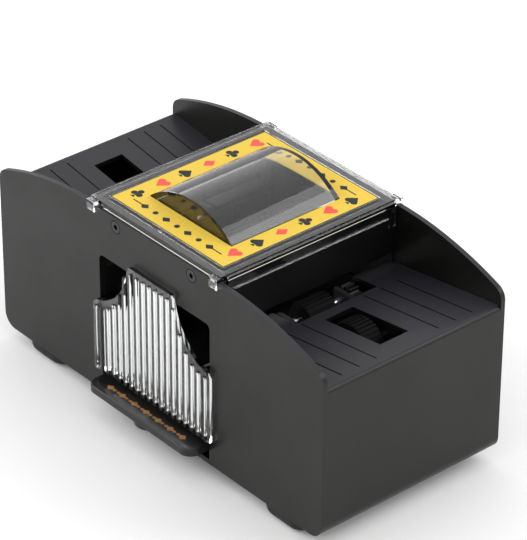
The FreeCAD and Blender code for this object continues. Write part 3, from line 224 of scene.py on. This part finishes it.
ink_bronze = printed("ink_bronze", (0.30, 0.15, 0.055), (0.40, 0.21, 0.085), 0.3)

FINISHES = {
    "upper_housing": housing, "lower_housing": casing, "battery_door": casing,
    "center_frame": inner, "press_bar": bar_black, "card_label": label_gold,
    "top_cover": cover_acrylic, "card_drawer": drawer_acrylic, "press_bar_pin": steel,
    "press_bar_springs": steel, "battery_springs": steel, "switch_block": white_nylon,
    "switch_lower_leaf": brass, "switch_upper_leaf": brass, "battery_contact_plates": brass,
    "side_screws": screw_black, "base_screws": screw_black, "bracket_screws": screw_black,
}
SIDE_FINISHES = {
    "drive_bracket": bracket, "motor_can": can_steel, "motor_cap": white_nylon,
    "idler_stud": steel, "step_stud": steel, "motor_shaft": steel, "feed_shaft": steel,
    "exit_shaft": steel, "feed_hub": gear_acetal, "feed_tyre": tyre_rubber,
    "exit_roller": tyre_rubber, "feed_gear": gear_acetal, "exit_gear": gear_acetal,
    "idler_gear": gear_acetal, "step_gear": gear_acetal, "wheel_gear": gear_acetal,
    "motor_pinion": gear_acetal,
}
for side in SIDES:
    FINISHES.update({side + "_" + piece: material for piece, material in SIDE_FINISHES.items()})
for corner in ("front_left", "front_right", "rear_left", "rear_right"):
    FINISHES["foot_" + corner] = foot_rubber
for name, material in FINISHES.items():
    mesh = nodes[name].data
    mesh.materials.clear()
    mesh.materials.append(material)


# ---------------------------------------------------------------- rounded edges
def round_edges(node, width, segments=2, limit=35):
    """Small rounds on a moulding's sharp edges, so that they catch the light."""
    modifier = nodes[node].modifiers.new("edges", "BEVEL")
    modifier.width = width
    modifier.segments = segments
    modifier.limit_method = "ANGLE"
    modifier.angle_limit = math.radians(limit)
    modifier.use_clamp_overlap = True


for name, width in (("upper_housing", 0.0004), ("lower_housing", 0.0004), ("press_bar", 0.0004),
                    ("center_frame", 0.0003), ("top_cover", 0.0003)):
    round_edges(name, width)


# ---------------------------------------------------------------- press bar springs
def compressed_springs():
    """The two coils under the press bar, copied to ride on the casing in place of the imported springs."""
    coils = bpy.data.objects.new("press_bar_coils", nodes["press_bar_springs"].data.copy())
    bpy.context.scene.collection.objects.link(coils)
    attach(coils, "casing")
    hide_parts("press_bar_springs")
    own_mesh(coils)


compressed_springs()


# ---------------------------------------------------------------- printed label
def flat_mesh(name, outlines, low, high, material, body):
    """Closed thin slabs with the given outlines, each a list of (x, y), riding on a body."""
    vertices, faces = [], []
    for points in outlines:
        start, count = len(vertices), len(points)
        vertices += [(x, y, low) for x, y in points] + [(x, y, high) for x, y in points]
        faces.append([start + i for i in reversed(range(count))])
        faces.append([start + count + i for i in range(count)])
        for i in range(count):
            j = (i + 1) % count
            faces.append([start + i, start + j, start + count + j, start + count + i])
    mesh = bpy.data.meshes.new(name)
    mesh.from_pydata(vertices, [], faces)
    mesh.materials.append(material)
    piece = bpy.data.objects.new(name, mesh)
    bpy.context.scene.collection.objects.link(piece)
    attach(piece, body)
    return piece


def arc_points(cx, cy, radius, start, end, steps):
    """Points along an arc, angles in degrees."""
    angles = [math.radians(start + (end - start) * i / steps) for i in range(steps + 1)]
    return [(cx + radius * math.cos(a), cy + radius * math.sin(a)) for a in angles]


def heart():
    """Outlines of a heart one unit high, its point downwards."""
    left = arc_points(-0.24, 0.22, 0.26, 30, 205, 12)
    right = arc_points(0.24, 0.22, 0.26, -25, 150, 12)
    return [right + left + [(0.0, -0.5)]]


def spade():
    """Outlines of a spade: a heart turned over, and its stem."""
    leaf = [(-x, 0.08 - 0.84 * y) for x, y in heart()[0]]
    return [leaf, [(-0.2, -0.5), (0.2, -0.5), (0.04, -0.32), (0.03, -0.1), (-0.03, -0.1), (-0.04, -0.32)]]


def club():
    """Outlines of a club: three lobes and a stem."""
    lobes = [arc_points(x, y, 0.22, 0, 345, 23) for x, y in ((0, 0.27), (-0.25, -0.08), (0.25, -0.08))]
    return lobes + [[(-0.2, -0.5), (0.2, -0.5), (0.05, -0.3), (0.04, 0.15), (-0.04, 0.15), (-0.05, -0.3)]]


def diamond():
    """Outline of a diamond."""
    return [[(0, -0.5), (0.4, 0), (0, 0.5), (-0.4, 0)]]


def placed(outlines, x, y, height, turned=0.0):
    """Outlines scaled to a height, turned by degrees and moved."""
    c, s = math.cos(math.radians(turned)), math.sin(math.radians(turned))
    return [[(x + height * (c * px - s * py), y + height * (s * px + c * py)) for px, py in points]
            for points in outlines]


def frame_strips(x0, x1, y0, y1, width):
    """Four strips that make a rectangular line of a width, inside a rectangle."""
    def strip(a, b, c, d):
        return [(a, c), (b, c), (b, d), (a, d)]
    return [strip(x0, x1, y0, y0 + width), strip(x0, x1, y1 - width, y1),
            strip(x0, x0 + width, y0 + width, y1 - width), strip(x1 - width, x1, y0 + width, y1 - width)]


label_low, label_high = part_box("card_label")
label_mid = (label_low + label_high) / 2
half_x = (label_high.x - label_low.x) / 2
half_y = (label_high.y - label_low.y) / 2
INK = 0.02 * MM
SUIT = 6.4 * MM
SUIT_SPAN = 0.76
STRIP_X = 0.845
reds, blacks = [], []
COLUMNS = ((-1, (club, heart, spade, diamond, club, heart)),
           (1, (heart, spade, diamond, club, heart, spade)))
for sign, suits in COLUMNS:
    for i, suit in enumerate(suits):
        y = label_mid.y + half_y * SUIT_SPAN * (2 * i / (len(suits) - 1) - 1)
        ink = reds if suit in (heart, diamond) else blacks
        ink += placed(suit(), label_mid.x + sign * half_x * STRIP_X, y, SUIT)

# a plain ornament of lozenges, dots and rules stands for the lettering along both ends
ORNAMENT_Y = 0.86
ORNAMENT_STEP = 0.19
RULE_X = 0.69
LOZENGE = 4.6 * MM
DOT_RADIUS = 1.25 * MM
RULE_HALF = 3.2 * MM
RULE_THICK_HALF = 0.3 * MM
BORDER = 0.5 * MM
ornament = []
for sign in (-1, 1):
    y = label_mid.y + sign * half_y * ORNAMENT_Y
    for i in range(-3, 4):
        x = label_mid.x + i * half_x * ORNAMENT_STEP
        if i % 2:
            ornament += placed(diamond(), x, y, LOZENGE, 90)
        else:
            ornament += [arc_points(x, y, DOT_RADIUS, 0, 345, 23)]
    for end in (-1, 1):
        x = label_mid.x + end * half_x * RULE_X
        ornament += [[(x - RULE_HALF, y - RULE_THICK_HALF), (x + RULE_HALF, y - RULE_THICK_HALF),
                      (x + RULE_HALF, y + RULE_THICK_HALF), (x - RULE_HALF, y + RULE_THICK_HALF)]]
borders = frame_strips(label_low.x, label_high.x, label_low.y, label_high.y, BORDER)
blacks += ornament + borders
flat_mesh("label_red_suits", reds, label_high.z, label_high.z + INK, ink_coral, "cover")
flat_mesh("label_black_print", blacks, label_high.z, label_high.z + INK, ink_black, "cover")

# a row of lozenges stands for the lettering on the press bar
bar_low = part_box("press_bar")[0]
ROW_REACH = 9
ROW_PITCH = 2.6 * MM
ROW_LARGE = 4.2 * MM
ROW_SMALL = 2.2 * MM
ROW_INSET = 5.2 * MM
BAR_LEDGE = 6 * MM
BAR_INK = 0.03 * MM
row = []
for i in range(-ROW_REACH, ROW_REACH + 1):
    size = ROW_LARGE if i % 3 == 0 else ROW_SMALL
    row += placed(diamond(), i * ROW_PITCH, bar_low.y + ROW_INSET, size, 90)
top = max(v.co.z for v in nodes["press_bar"].data.vertices if v.co.y < bar_low.y + BAR_LEDGE)
flat_mesh("bar_ornament", row, top, top + BAR_INK, ink_bronze, "press_bar")


# ---------------------------------------------------------------- floor, light and camera
AIM = Vector((0, 0, 0.05))
FLOOR_SIZE = 8
FLOOR_GAP = 0.2 * MM
CAMERA_ROLL = math.radians(0.33)


def floor():
    """A plain pale floor, just below the feet."""
    material, tree, principled = shader("floor", **{"Roughness": 0.75, "Specular IOR Level": 0.2})
    tint(tree, principled, noise(tree, 3, 2), (0.94, 0.94, 0.94), (0.96, 0.96, 0.96))
    bpy.ops.mesh.primitive_plane_add(size=FLOOR_SIZE)
    plane = bpy.context.object
    plane.name = "floor"
    plane.location.z = -FLOOR_GAP
    plane.data.materials.append(material)


def area(name, place, size, power):
    """A square soft light that faces AIM, near the middle of the object."""
    light = bpy.data.lights.new(name, "AREA")
    light.size, light.energy = size, power
    lamp = bpy.data.objects.new(name, light)
    lamp.location = place
    lamp.rotation_euler = (AIM - Vector(place)).to_track_quat("-Z", "Y").to_euler()
    bpy.context.scene.collection.objects.link(lamp)


def camera():
    """The camera at the product view: from the front right, looking down."""
    place = Vector((0.86043, -0.72450, 0.76989))
    forward = Vector((-0.64429, 0.55449, -0.52672))
    data = bpy.data.cameras.new("camera")
    data.sensor_width = 36
    data.sensor_fit = "AUTO"
    data.lens = 215.9
    data.shift_x, data.shift_y = -0.0055, -0.0309
    data.clip_start, data.clip_end = 0.05, 30
    eye = bpy.data.objects.new("camera", data)
    turn = forward.to_track_quat("-Z", "Y").to_matrix() @ Matrix.Rotation(CAMERA_ROLL, 3, "Z")
    eye.matrix_world = Matrix.Translation(place) @ turn.to_4x4()
    bpy.context.scene.collection.objects.link(eye)
    bpy.context.scene.camera = eye


def world(strength):
    """Even white light from all round."""
    sky = bpy.data.worlds.new("studio")
    sky.use_nodes = True
    set_inputs(sky.node_tree.nodes["Background"], {"Color": (1, 1, 1, 1), "Strength": strength})
    bpy.context.scene.world = sky


floor()
world(1.0)
area("front_left", (-1.16, -0.95, 1.0), 0.7, 8)
area("back_right", (0.95, 1.0, 1.16), 1.0, 9)
area("front", (-0.3, -1.6, 1.6), 1.4, 3)
camera()
bpy.context.scene.view_settings.view_transform = "Standard"
